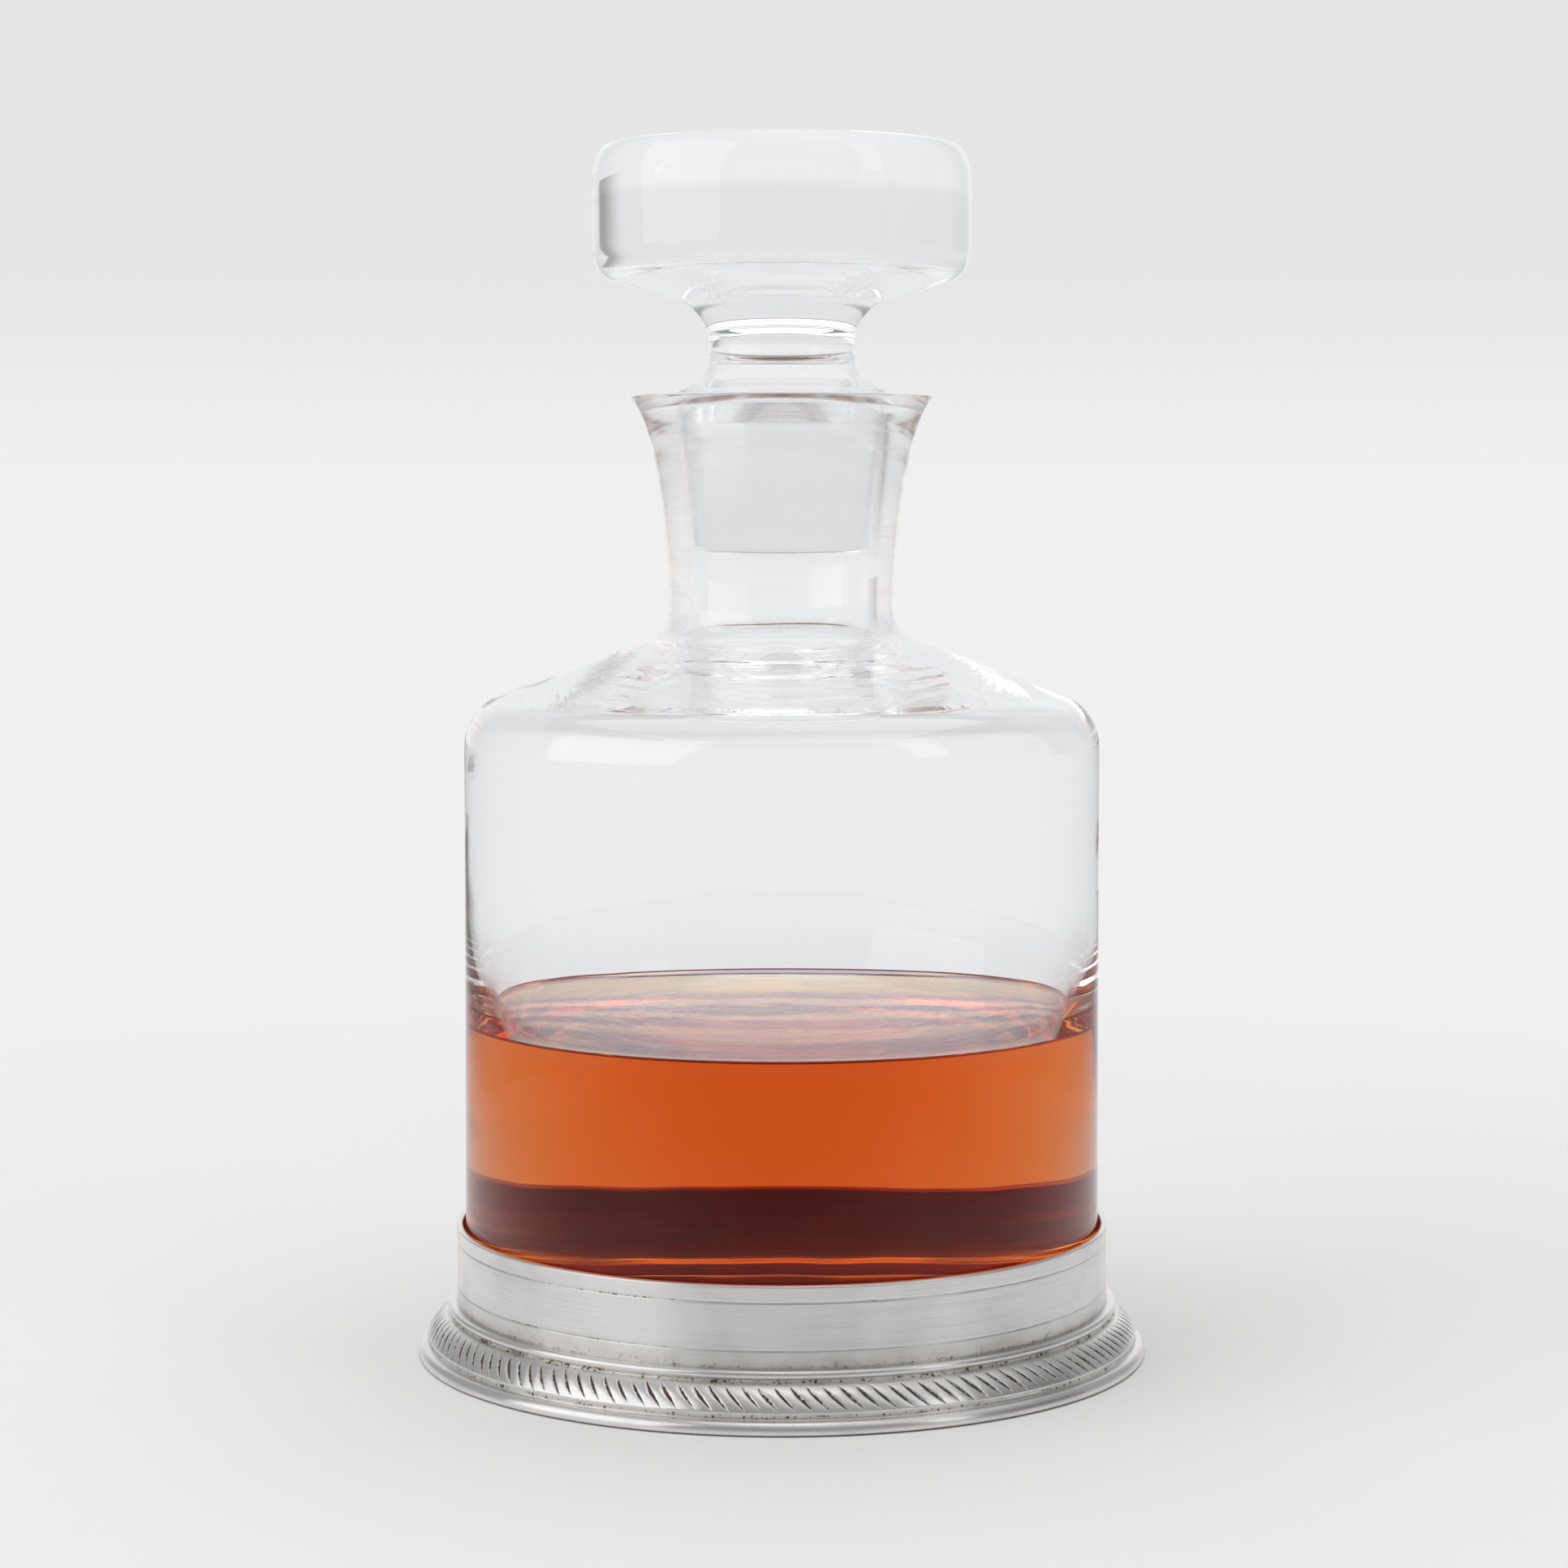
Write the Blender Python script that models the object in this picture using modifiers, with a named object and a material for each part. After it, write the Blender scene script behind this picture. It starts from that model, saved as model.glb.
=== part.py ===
"""Spirits decanter: a blown glass bottle and its solid glass stopper in a pewter stand.

The stand is a rope-moulded foot ring, a plain band with two engraved lines and a base plate.
Sizes are in metres. The origin is on the axis, at the level the foot stands on, and +Z is up.
"""
import math

import bmesh
import bpy
from mathutils import Matrix, Vector

# Fits
FIT_GAP = 0.0003              # between two pieces that touch
BAND_AIR_GAP = 0.0005         # ring of air between the glass and the inside of the band

# Foot ring, a cast ring that carries everything else. The band and the glass follow its radius.
FOOT_RADIUS = 0.0650
FOOT_SPREAD = 0.00685         # how far the foot stands out beyond the band
FOOT_EDGE_RISE = 0.0006       # widest place of the plain outer rim
FOOT_EDGE_ROUND = 0.0004      # small rounding under the rim
FOOT_EDGE_CURVE = 0.0016      # larger rounding over the rim
STANDING_WIDTH = 0.0038       # flat band that the foot stands on
HOLLOW_HEIGHT = 0.0026        # recess under the ring, inside the standing band
HOLLOW_DRAFT = 0.0004
LEDGE_TOP = 0.0044            # seat of the base plate
LEDGE_WIDTH = 0.0046
FOOT_HEIGHT = 0.0094          # seat of the band

# Mouldings of the foot ring
BEAD_RADIUS = 0.00080         # round bead under the band
BEAD_OVERHANG = 0.0008        # bead centre beyond the face of the band
CHANNEL_INSET = 0.0058        # hollow channel between bead and rope, inside the foot radius
CHANNEL_RISE = 0.0005         # bottom of that channel above the rope moulding
ROPE_TOP_INSET = 0.0050       # rope moulding's upper edge, inside the foot radius
ROPE_TOP = 0.0071
ROPE_FOOT_INSET = 0.0016      # rope moulding's lower edge, inside the foot radius
ROPE_FOOT = 0.0034
ROPE_CROWN = 0.0004           # how far the rope moulding bulges
QUIRK_DEPTH = 0.0002          # fine channel under the rope moulding
QUIRK_HEIGHT = 0.0008

# Notches of the rope moulding
NOTCH_COUNT = 142
NOTCH_SLANT = math.radians(38)
NOTCH_WIDTH = 0.0010
NOTCH_DEPTH = 0.0007
NOTCH_LENGTH = 0.0070
NOTCH_SINK = 0.0001           # notch centre below the crown of the moulding

# Band
BAND_WAIST = 0.00015          # how far the band draws in at mid height
BAND_WALL = 0.0011
BAND_HEIGHT = 0.0135
BAND_RIM_ROUND = 0.0004
LINE_WIDTH = 0.0005
LINE_DEPTH = 0.00022
UPPER_LINE_DROP = 0.0032      # engraved line below the rim
LOWER_LINE_RISE = 0.0027      # engraved line above the lower edge

# Base plate and the bed that the glass is set in
PLATE_THICKNESS = 0.0014
PLATE_EDGE_ROUND = 0.0003
BED_THICKNESS = 0.0011
BED_INSET = 0.00305           # edge of the bed, inside the flat underside of the glass

# Bottle, outside
BODY_WALL_HEIGHT = 0.1001     # straight side, from the underside of the glass
BODY_NARROWING = 0.00035      # the side draws in towards the shoulder
HEEL_RADIUS = 0.0055          # rounding between side and underside
SHOULDER_CORNER_RADIUS = 0.010
SHOULDER_SLOPE = math.radians(20.5)
NECK_WALL = 0.0034            # round the bore, where the neck is narrowest
NECK_FILLET_RADIUS = 0.0050
NECK_HEIGHT = 0.0378          # from the narrowest place to the lip
NECK_SPREAD = 0.0047          # slow widening towards the mouth
NECK_SPREAD_POWER = 1.9
LIP_FLARE = 0.0019            # quick widening just below the lip
LIP_FLARE_POWER = 9
LIP_EDGE = 0.00035            # thickness of the lip's edge

# Bottle, inside
BORE_RADIUS = 0.0166          # neck, plug and stem follow it
BORE_WIDENING = 0.00215       # from its narrow end to the mouth
BORE_TAPER_SHARE = 0.84       # share of the neck height that the taper runs down
MOUTH_CHAMFER = 0.0004
SHOULDER_WALL = 0.0026
UPPER_WALL = 0.0014
LOWER_WALL = 0.0062
WALL_CHANGE_DROP = 0.0497     # middle of the thickening, below the shoulder
WALL_CHANGE_SPREAD = 0.0050
INNER_CORNER_RADIUS = 0.0080
INNER_NECK_FILLET = 0.0050
FLOOR_THICKNESS = 0.0062
FLOOR_CORNER_RADIUS = 0.0120
WALL_SAMPLE_SHARES = (0.12, 0.24, 0.33, 0.39, 0.45, 0.52, 0.62, 0.78)
NECK_SAMPLE_SHARES = (0.99, 0.96, 0.91, 0.83, 0.72, 0.55, 0.35, 0.15)

# Spirit
SPIRIT_DEPTH = 0.0448

# Stopper
HEAD_RADIUS = 0.0334
HEAD_TOP_ROUND = 0.0060
HEAD_FOOT_ROUND = 0.0055
HEAD_SIDE_HEIGHT = 0.0122     # straight side of the head
HEAD_UNDERCUT_SLOPE = math.radians(17)
STEM_INSET = 0.00625          # narrowest place of the stem, inside the mouth of the bore
STEM_CURVE_RADIUS = 0.0080    # hollow curve from the head to the plug
STEM_RISE = 0.00895           # middle of the hollow curve above the lip
STEM_FOOT_ANGLE = math.radians(70)
PLUG_DROP = 0.0013            # widest place of the plug, below the lip
PLUG_LENGTH = 0.0262
PLUG_FOOT_EASE = 0.0011       # foot of the plug, inside the narrow end of the bore
PLUG_FOOT_ROUND = 0.0016

# Turning
TURN_STEPS = 48
CURVE_STEP = math.radians(24)     # along the large curves of the glass
MOULDING_STEP = math.radians(45)  # along the small roundings of the pewter
MERGE_DISTANCE = 0.00001

# Radii that follow from the sizes above
BAND_RADIUS = FOOT_RADIUS - FOOT_SPREAD
BAND_BORE = BAND_RADIUS - BAND_WALL
BODY_RADIUS = BAND_BORE - BAND_AIR_GAP
SHOULDER_RADIUS = BODY_RADIUS - BODY_NARROWING
BED_RADIUS = BODY_RADIUS - HEEL_RADIUS - BED_INSET
NECK_RADIUS = BORE_RADIUS + NECK_WALL
BORE_MOUTH_RADIUS = BORE_RADIUS + BORE_WIDENING
STEM_RADIUS = BORE_MOUTH_RADIUS - STEM_INSET
PLUG_FOOT_RADIUS = BORE_RADIUS - PLUG_FOOT_EASE

# Levels that follow from the sizes above
PLATE_FOOT = LEDGE_TOP + FIT_GAP
BED_FOOT = PLATE_FOOT + PLATE_THICKNESS + FIT_GAP
GLASS_FOOT = BED_FOOT + BED_THICKNESS + FIT_GAP
FLOOR = GLASS_FOOT + FLOOR_THICKNESS
SHOULDER = GLASS_FOOT + BODY_WALL_HEIGHT
BAND_FOOT = FOOT_HEIGHT + FIT_GAP

# The slope of the shoulder as a line: sin * radius + cos * height is the same all along it
SLOPE_SIN, SLOPE_COS = math.sin(SHOULDER_SLOPE), math.cos(SHOULDER_SLOPE)
CORNER_R = SHOULDER_RADIUS - SHOULDER_CORNER_RADIUS
OUTER_SLOPE = SLOPE_SIN * CORNER_R + SLOPE_COS * SHOULDER + SHOULDER_CORNER_RADIUS
INNER_SLOPE = OUTER_SLOPE - SHOULDER_WALL
INNER_CORNER_R = SHOULDER_RADIUS - UPPER_WALL - INNER_CORNER_RADIUS
INNER_CORNER_Z = (INNER_SLOPE - INNER_CORNER_RADIUS - SLOPE_SIN * INNER_CORNER_R) / SLOPE_COS
NECK_CURVE_R = NECK_RADIUS + NECK_FILLET_RADIUS
NECK = (OUTER_SLOPE + NECK_FILLET_RADIUS - SLOPE_SIN * NECK_CURVE_R) / SLOPE_COS
BORE_CURVE_R = BORE_RADIUS + INNER_NECK_FILLET
BORE_END = (INNER_SLOPE + INNER_NECK_FILLET - SLOPE_SIN * BORE_CURVE_R) / SLOPE_COS
LIP = NECK + NECK_HEIGHT

GLASS = ("clear_glass", (0.93, 0.95, 0.96), 0.0, 0.02, 1.0, 1.5)
PEWTER = ("satin_pewter", (0.62, 0.61, 0.60), 1.0, 0.34, 0.0, 1.5)
SPIRIT = ("amber_spirit", (0.80, 0.30, 0.06), 0.0, 0.02, 1.0, 1.36)
PUTTY = ("setting_putty", (0.72, 0.70, 0.66), 0.0, 0.80, 0.0, 1.5)


def clear_scene():
    for old in list(bpy.data.objects):
        bpy.data.objects.remove(old, do_unlink=True)


def make_collection(name):
    collection = bpy.data.collections.new(name)
    bpy.context.scene.collection.children.link(collection)
    return collection


def make_material(name, colour, metallic, roughness, transmission, ior):
    material = bpy.data.materials.get(name)
    if material:
        return material
    material = bpy.data.materials.new(name)
    material.use_nodes = True
    shader = material.node_tree.nodes["Principled BSDF"]
    shader.inputs["Base Color"].default_value = (*colour, 1)
    shader.inputs["Metallic"].default_value = metallic
    shader.inputs["Roughness"].default_value = roughness
    shader.inputs["Transmission Weight"].default_value = transmission
    shader.inputs["IOR"].default_value = ior
    return material


def arc(centre_r, centre_z, radius, start, end, largest_step=CURVE_STEP):
    """Points of an arc in the (radius, height) plane, both ends included."""
    steps = max(1, math.ceil(abs(end - start) / largest_step))
    angles = (start + (end - start) * step / steps for step in range(steps + 1))
    return [(centre_r + radius * math.cos(a), centre_z + radius * math.sin(a)) for a in angles]


def crowned(start, end, crown, steps):
    """Points from start to end that bulge outwards, to the left of the way up, by crown."""
    (r0, z0), (r1, z1) = start, end
    length = math.hypot(r1 - r0, z1 - z0)
    out_r, out_z = (z0 - z1) / length, (r1 - r0) / length
    points = []
    for step in range(steps + 1):
        share = step / steps
        rise = crown * 4 * share * (1 - share)
        points.append((r0 + (r1 - r0) * share + out_r * rise, z0 + (z1 - z0) * share + out_z * rise))
    return points


def turned(name, outline, finish, collection, ring=False):
    """Turn an outline of (radius, height) points round the Z axis into a closed solid."""
    mesh = bpy.data.meshes.new(name)
    count = len(outline)
    edges = [(i, i + 1) for i in range(count - 1)]
    if ring:
        edges.append((count - 1, 0))
    mesh.from_pydata([(r, 0, z) for r, z in outline], edges, [])
    piece = bpy.data.objects.new(name, mesh)
    collection.objects.link(piece)
    screw = piece.modifiers.new("turn", "SCREW")
    screw.axis = "Z"
    screw.angle = math.tau
    screw.steps = screw.render_steps = TURN_STEPS
    screw.use_merge_vertices = True
    screw.merge_threshold = MERGE_DISTANCE
    screw.use_smooth_shade = True
    mesh.materials.append(make_material(*finish))
    return piece


def foot_ring(collection, cutters):
    """Cast ring: seat, bead, channel, rope moulding and rounded rim, with a ledge inside."""
    over, right, under = math.radians(90), 0, math.radians(-90)
    bead_end = math.radians(-45)
    bead_r = BAND_RADIUS + BEAD_OVERHANG
    rope_top = (FOOT_RADIUS - ROPE_TOP_INSET, ROPE_TOP)
    rope_foot = (FOOT_RADIUS - ROPE_FOOT_INSET, ROPE_FOOT)
    curve_r = FOOT_RADIUS - FOOT_EDGE_CURVE
    round_r = FOOT_RADIUS - FOOT_EDGE_ROUND
    hollow_r = round_r - STANDING_WIDTH
    ledge_r = BAND_BORE - LEDGE_WIDTH
    outline = [(BAND_BORE, FOOT_HEIGHT)]
    outline += arc(bead_r, FOOT_HEIGHT - BEAD_RADIUS, BEAD_RADIUS, over, bead_end, MOULDING_STEP)
    outline.append((FOOT_RADIUS - CHANNEL_INSET, ROPE_TOP + CHANNEL_RISE))
    outline += crowned(rope_top, rope_foot, ROPE_CROWN, 3)
    outline.append((rope_foot[0] - QUIRK_DEPTH, ROPE_FOOT - QUIRK_HEIGHT))
    outline += arc(curve_r, FOOT_EDGE_RISE, FOOT_EDGE_CURVE, over, right, MOULDING_STEP)
    outline += arc(round_r, FOOT_EDGE_ROUND, FOOT_EDGE_ROUND, right, under, MOULDING_STEP)
    outline += [(hollow_r, 0), (hollow_r - HOLLOW_DRAFT, HOLLOW_HEIGHT)]
    outline += [(ledge_r, HOLLOW_HEIGHT), (ledge_r, LEDGE_TOP), (BAND_BORE, LEDGE_TOP)]
    ring = turned("foot_ring", outline, PEWTER, collection, ring=True)
    knife = rope_knife(cutters, rope_top, rope_foot)
    cut = ring.modifiers.new("rope_notches", "BOOLEAN")
    cut.operation = "DIFFERENCE"
    cut.solver = "EXACT"
    cut.object = knife
    return ring


def rope_knife(cutters, rope_top, rope_foot):
    """All the notches of the rope moulding: stretched octahedra, slanting down to the right."""
    mid_r = (rope_top[0] + rope_foot[0]) / 2
    mid_z = (rope_top[1] + rope_foot[1]) / 2
    fall = Vector((rope_foot[0] - rope_top[0], 0, rope_foot[1] - rope_top[1])).normalized()
    out = Vector((-fall.z, 0, fall.x))
    round_the_foot = Vector((0, 1, 0))
    centre = Vector((mid_r, 0, mid_z)) + out * (ROPE_CROWN - NOTCH_SINK)
    along = fall * math.cos(NOTCH_SLANT) + round_the_foot * math.sin(NOTCH_SLANT)
    across = out.cross(along)
    stretch = Matrix((along * NOTCH_LENGTH / 2, across * NOTCH_WIDTH / 2, out * NOTCH_DEPTH)).transposed()
    notch = Matrix.Translation(centre) @ stretch.to_4x4()
    bm = bmesh.new()
    for index in range(NOTCH_COUNT):
        turn = Matrix.Rotation(math.tau * index / NOTCH_COUNT, 4, "Z")
        bmesh.ops.create_uvsphere(bm, u_segments=4, v_segments=2, radius=1, matrix=turn @ notch)
    bmesh.ops.recalc_face_normals(bm, faces=bm.faces)
    mesh = bpy.data.meshes.new("rope_knife")
    bm.to_mesh(mesh)
    bm.free()
    knife = bpy.data.objects.new("rope_knife", mesh)
    knife.hide_render = True
    knife.display_type = "WIRE"
    cutters.objects.link(knife)
    return knife


def collar_band(collection):
    """Plain band with a rounded rim and two engraved lines, waisted a little at mid height."""
    rim = BAND_FOOT + BAND_HEIGHT

    def face(z):
        share = (z - BAND_FOOT) / BAND_HEIGHT
        return BAND_RADIUS - BAND_WAIST * 4 * share * (1 - share)

    def line(z):
        return [(face(z), z + LINE_WIDTH / 2), (face(z) - LINE_DEPTH, z), (face(z), z - LINE_WIDTH / 2)]

    rim_r = BAND_RADIUS - BAND_RIM_ROUND
    outline = [(BAND_BORE, rim)]
    outline += arc(rim_r, rim - BAND_RIM_ROUND, BAND_RIM_ROUND, math.radians(90), 0, MOULDING_STEP)
    outline += line(rim - UPPER_LINE_DROP)
    middle = (rim - UPPER_LINE_DROP + BAND_FOOT + LOWER_LINE_RISE) / 2
    outline.append((face(middle), middle))
    outline += line(BAND_FOOT + LOWER_LINE_RISE)
    outline += [(face(BAND_FOOT), BAND_FOOT), (BAND_BORE, BAND_FOOT)]
    return turned("collar_band", outline, PEWTER, collection, ring=True)


def base_plate(collection):
    """Disc let down onto the ledge of the foot ring."""
    radius = BAND_BORE - FIT_GAP
    top = PLATE_FOOT + PLATE_THICKNESS
    outline = [(0, top), (radius - PLATE_EDGE_ROUND, top), (radius, top - PLATE_EDGE_ROUND)]
    outline += [(radius, PLATE_FOOT), (0, PLATE_FOOT)]
    return turned("base_plate", outline, PEWTER, collection)


def glass_bed(collection):
    """Thin bed of putty that holds the glass down on the plate."""
    top = BED_FOOT + BED_THICKNESS
    outline = [(0, top), (BED_RADIUS, top), (BED_RADIUS, BED_FOOT), (0, BED_FOOT)]
    return turned("glass_bed", outline, PUTTY, collection)


def body_radius(z):
    """Outside of the bottle's side, which draws in evenly from the foot to the shoulder."""
    return BODY_RADIUS - BODY_NARROWING * (z - GLASS_FOOT) / BODY_WALL_HEIGHT


def cavity_radius(z):
    """Inside of the side: a thin upper wall that swells to the thick lower one."""
    middle = SHOULDER - WALL_CHANGE_DROP
    swelling = (LOWER_WALL - UPPER_WALL) / (1 + math.exp((z - middle) / WALL_CHANGE_SPREAD))
    return body_radius(z) - UPPER_WALL - swelling


def cavity_outline(top, gap):
    """Cavity from the middle of its floor up to the height top, kept clear by gap."""
    corner_z = FLOOR + FLOOR_CORNER_RADIUS
    corner_r = cavity_radius(corner_z) - FLOOR_CORNER_RADIUS
    outline = [(0, FLOOR + gap)]
    outline += arc(corner_r, corner_z, FLOOR_CORNER_RADIUS - gap, math.radians(-90), 0)
    levels = (corner_z + (SHOULDER - corner_z) * share for share in WALL_SAMPLE_SHARES)
    outline += [(cavity_radius(z) - gap, z) for z in levels if z < top]
    return outline


def neck_flare(share):
    """Outside radius of the neck at a share of its height: a slow spread, then a flared lip."""
    return NECK_RADIUS + NECK_SPREAD * share ** NECK_SPREAD_POWER + LIP_FLARE * share ** LIP_FLARE_POWER


def glass_bottle(collection):
    """Blown bottle: thick floor, swelling wall, sloped shoulder, tapered bore and flared lip."""
    over, right, under, left = math.radians(90), 0, math.radians(270), math.radians(180)
    slope = SHOULDER_SLOPE
    outline = cavity_outline(SHOULDER, 0)
    outline += arc(INNER_CORNER_R, INNER_CORNER_Z, INNER_CORNER_RADIUS, right, over - slope)
    outline += arc(BORE_CURVE_R, BORE_END, INNER_NECK_FILLET, under - slope, left)
    outline.append((BORE_RADIUS, LIP - NECK_HEIGHT * BORE_TAPER_SHARE))
    outline.append((BORE_MOUTH_RADIUS, LIP - MOUTH_CHAMFER))
    outline.append((BORE_MOUTH_RADIUS + MOUTH_CHAMFER, LIP))
    outline.append((neck_flare(1) - LIP_EDGE, LIP))
    outline += [(neck_flare(share), NECK + NECK_HEIGHT * share) for share in NECK_SAMPLE_SHARES]
    outline += arc(NECK_CURVE_R, NECK, NECK_FILLET_RADIUS, left, under - slope)
    outline += arc(CORNER_R, SHOULDER, SHOULDER_CORNER_RADIUS, over - slope, right)
    outline += arc(BODY_RADIUS - HEEL_RADIUS, GLASS_FOOT + HEEL_RADIUS, HEEL_RADIUS, right, -over)
    outline.append((0, GLASS_FOOT))
    return turned("glass_bottle", outline, GLASS, collection)


def spirit(collection):
    """The drink: it fills the cavity up to its level surface."""
    surface = FLOOR + SPIRIT_DEPTH
    inside = cavity_outline(surface, FIT_GAP)
    outline = [(0, surface), (cavity_radius(surface) - FIT_GAP, surface)] + inside[::-1]
    return turned("spirit", outline, SPIRIT, collection)


def plug_radius():
    """Widest radius of the plug: the tapered bore at that height, less the fit."""
    taper = (BORE_MOUTH_RADIUS - BORE_RADIUS) / (NECK_HEIGHT * BORE_TAPER_SHARE - MOUTH_CHAMFER)
    return BORE_MOUTH_RADIUS - taper * (PLUG_DROP - MOUTH_CHAMFER) - FIT_GAP


def glass_stopper(collection, holder):
    """Solid stopper: a thick drum head, a hollow-curved stem and a plug that tapers into the bore."""
    stem_z = LIP + STEM_RISE
    stem_r = STEM_RADIUS + STEM_CURVE_RADIUS
    sin, cos = math.sin(HEAD_UNDERCUT_SLOPE), math.cos(HEAD_UNDERCUT_SLOPE)
    underside = cos * (stem_z + STEM_CURVE_RADIUS * cos) - sin * (stem_r - STEM_CURVE_RADIUS * sin)
    foot_r = HEAD_RADIUS - HEAD_FOOT_ROUND
    foot_z = (underside + sin * foot_r + HEAD_FOOT_ROUND) / cos
    top_z = foot_z + HEAD_SIDE_HEIGHT
    plug_z = LIP - PLUG_DROP
    plug_foot = plug_z - PLUG_LENGTH
    outline = [(0, top_z + HEAD_TOP_ROUND)]
    outline += arc(HEAD_RADIUS - HEAD_TOP_ROUND, top_z, HEAD_TOP_ROUND, math.radians(90), 0)
    outline += arc(foot_r, foot_z, HEAD_FOOT_ROUND, 0, HEAD_UNDERCUT_SLOPE - math.radians(90))
    outline += arc(stem_r, stem_z, STEM_CURVE_RADIUS, HEAD_UNDERCUT_SLOPE + math.radians(90),
                   math.radians(180) + STEM_FOOT_ANGLE)
    outline.append((plug_radius(), plug_z))
    outline += arc(PLUG_FOOT_RADIUS - PLUG_FOOT_ROUND, plug_foot + PLUG_FOOT_ROUND, PLUG_FOOT_ROUND,
                   0, math.radians(-90))
    outline.append((0, plug_foot))
    stopper = turned("glass_stopper", outline, GLASS, collection)
    stopper.parent = holder
    return stopper


def build():
    clear_scene()
    parts = make_collection("spirits_decanter")
    cutters = make_collection("cutters")
    foot_ring(parts, cutters)
    collar_band(parts)
    base_plate(parts)
    glass_bed(parts)
    glass_bottle(parts)
    spirit(parts)
    lift_axis = bpy.data.objects.new("stopper_lift_axis", None)
    parts.objects.link(lift_axis)
    glass_stopper(parts, lift_axis)


build()
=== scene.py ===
# Spirits decanter: a blown glass bottle with its solid stopper, set in a rope-moulded pewter stand.
import math

import bpy
import numpy as np
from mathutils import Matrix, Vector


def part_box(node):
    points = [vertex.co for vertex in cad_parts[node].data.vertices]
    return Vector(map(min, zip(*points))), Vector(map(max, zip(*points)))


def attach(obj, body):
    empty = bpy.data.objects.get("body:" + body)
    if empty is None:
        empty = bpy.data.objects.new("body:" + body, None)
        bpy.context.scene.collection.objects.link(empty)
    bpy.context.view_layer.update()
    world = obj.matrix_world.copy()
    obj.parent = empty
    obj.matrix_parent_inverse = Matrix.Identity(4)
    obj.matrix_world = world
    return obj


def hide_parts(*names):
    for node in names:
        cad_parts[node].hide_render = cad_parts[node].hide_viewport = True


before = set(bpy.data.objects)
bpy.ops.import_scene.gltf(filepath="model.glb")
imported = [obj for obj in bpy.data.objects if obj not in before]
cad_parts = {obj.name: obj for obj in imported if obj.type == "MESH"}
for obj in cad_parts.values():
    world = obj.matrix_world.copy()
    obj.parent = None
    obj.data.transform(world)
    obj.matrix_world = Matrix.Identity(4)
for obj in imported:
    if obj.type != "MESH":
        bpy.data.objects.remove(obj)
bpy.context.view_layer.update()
mm = 0.001
fullTurn = 2 * math.pi
# in millimetres: a row with a smaller radius is one point on the axis, and how far a row may lie past a level
onAxis = 1e-6
slack = 0.1
print("frame loaded:", ", ".join(sorted(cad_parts)))


# Lowest height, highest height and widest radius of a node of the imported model, in millimetres
def extent(node):
    low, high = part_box(node)
    return low.z / mm, high.z / mm, high.x / mm


# Outlines: arrays of (radius, height) rows in millimetres

# Round stretch: centre + (width * cos, height * sin) of evenly spaced angles, in degrees
def bow(centreR, centreZ, width, start, end, step=4, height=None):
    angles = np.radians(np.linspace(start, end, max(2, math.ceil(abs(end - start) / step) + 1)))
    return np.column_stack([centreR + width * np.cos(angles), centreZ + (height or width) * np.sin(angles)])


# Hollow or bulging stretch: (1-t)^2 * start + 2t(1-t) * pull + t^2 * end
def sag(start, pull, end, count=8):
    t = np.linspace(0, 1, count)[:, None]
    return (1 - t) ** 2 * np.array(start) + 2 * t * (1 - t) * np.array(pull) + t ** 2 * np.array(end)


# Straight stretch: evenly spaced rows from start to end
def straight(start, end, count=2):
    return np.linspace(start, end, count)


# One outline from several stretches, without the rows that repeat where two stretches meet
def join(*stretches, least=0.02):
    rows = np.vstack(stretches)
    step = np.linalg.norm(np.diff(rows, axis=0), axis=1)
    return rows[np.concatenate([[True], step > least])]


# Length run along the outline up to each row, as a column
def runLength(rows):
    steps = np.linalg.norm(np.diff(rows, axis=0), axis=1)
    return np.concatenate([[0], np.cumsum(steps)])[:, None]


# Turns of evenly spaced columns, once round the piece, as a row
def columnTurns(columns):
    return np.linspace(0, fullTurn, columns, endpoint=False)[None, :]


# Slow unevenness of hand work: a sum of waves cos(lobes * turn + pace * run + phase), each a little weaker
def unevenness(turn, run, seed, lobes=(1, 2, 3, 5), paces=(0.03, 0.08, 0.15, 0.3)):
    dice = np.random.default_rng(seed)
    total = 0
    for order, (lobe, pace) in enumerate(zip(lobes, paces)):
        way = dice.choice([-1, 1])
        total = total + np.cos(lobe * turn + way * pace * run + dice.uniform(0, fullTurn)) / (order + 1)
    return total / 2


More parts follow.
